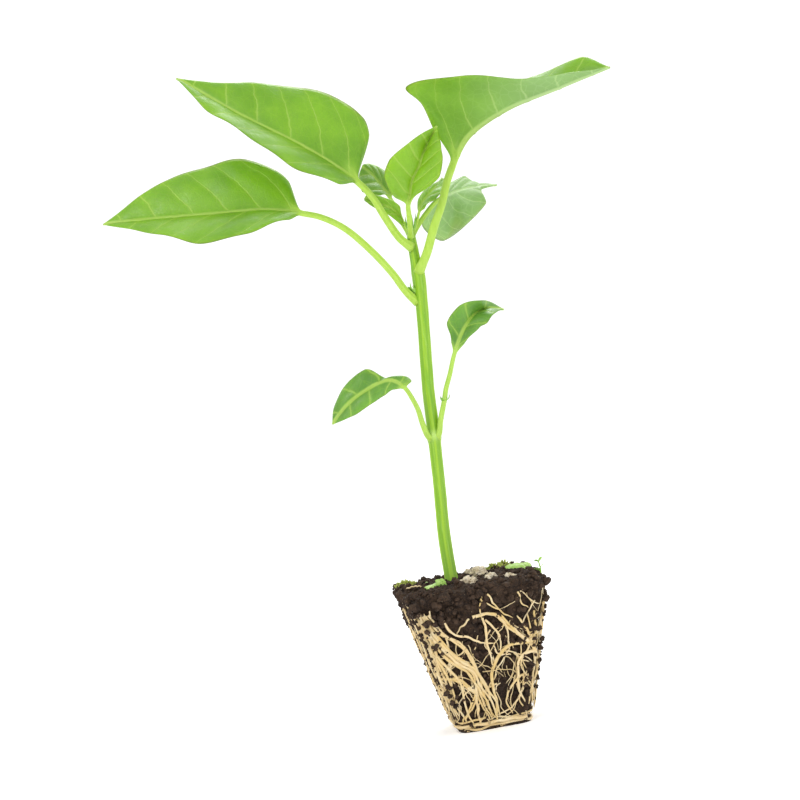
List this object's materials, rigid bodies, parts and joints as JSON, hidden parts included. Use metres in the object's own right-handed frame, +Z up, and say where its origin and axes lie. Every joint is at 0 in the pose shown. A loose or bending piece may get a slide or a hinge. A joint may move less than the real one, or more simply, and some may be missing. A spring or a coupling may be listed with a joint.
{
  "type": "chilli pepper plug plant",
  "caption": "Young chilli pepper plant with broad pointed leaves on an upright stem, standing on its bare tapered square root plug of dark soil bound by pale roots.",
  "frame": {"origin": "centre of the root plug's flat underside, where the plant stands", "axes": "+Z up along the plant, the plug's sides face X and Y, the plant's front faces -Y and its two long left leaves point to -X"},
  "size_m": [0.1631, 0.0592, 0.2203],
  "materials": {
    "soil": "crumbly dark potting compost, matt",
    "root": "cream to straw-yellow young roots, slightly waxy",
    "stem": "ribbed fresh green stem, satin",
    "leaf": "fresh green leaf with pale veins, satin",
    "lower_leaf": "older green leaf with pale veins, satin",
    "bud": "young green growth, satin",
    "moss": "yellow-green moss, matt",
    "liverwort": "pale green liverwort, slightly glossy",
    "granule": "cream expanded granule, matt",
    "straw": "dry straw, matt"
  },
  "bodies": {
    "root": {"axil_bud": "bud", "granule_1": "granule", "granule_2": "granule", "granule_3": "granule", "granule_4": "granule", "granule_5": "granule", "leaf_back_left": "leaf", "leaf_back_right": "leaf", "leaf_centre": "leaf", "leaf_inner_left": "leaf", "leaf_inner_right": "leaf", "leaf_left": "leaf", "leaf_lower_left": "lower_leaf", "leaf_lower_right": "lower_leaf", "leaf_right": "leaf", "leaf_upper_left": "leaf", "liverwort_1": "liverwort", "liverwort_2": "liverwort", "liverwort_3": "liverwort", "liverwort_4": "liverwort", "moss_tuft_1": "moss", "moss_tuft_2": "moss", "root_back_1": "root", "root_back_2": "root", "root_back_3": "root", "root_front_1": "root", "root_front_2": "root", "root_front_3": "root", "root_front_4": "root", "root_front_5": "root", "root_front_6": "root", "root_front_7": "root", "root_front_8": "root", "root_left_1": "root", "root_left_2": "root", "root_left_3": "root", "root_right_1": "root", "root_right_2": "root", "root_right_3": "root", "root_ring": "root", "shoot_tip": "bud", "soil_plug": "soil", "stem": "stem", "straw_bit": "straw", "weed_seedling": "liverwort"}
  },
  "joints": []
}
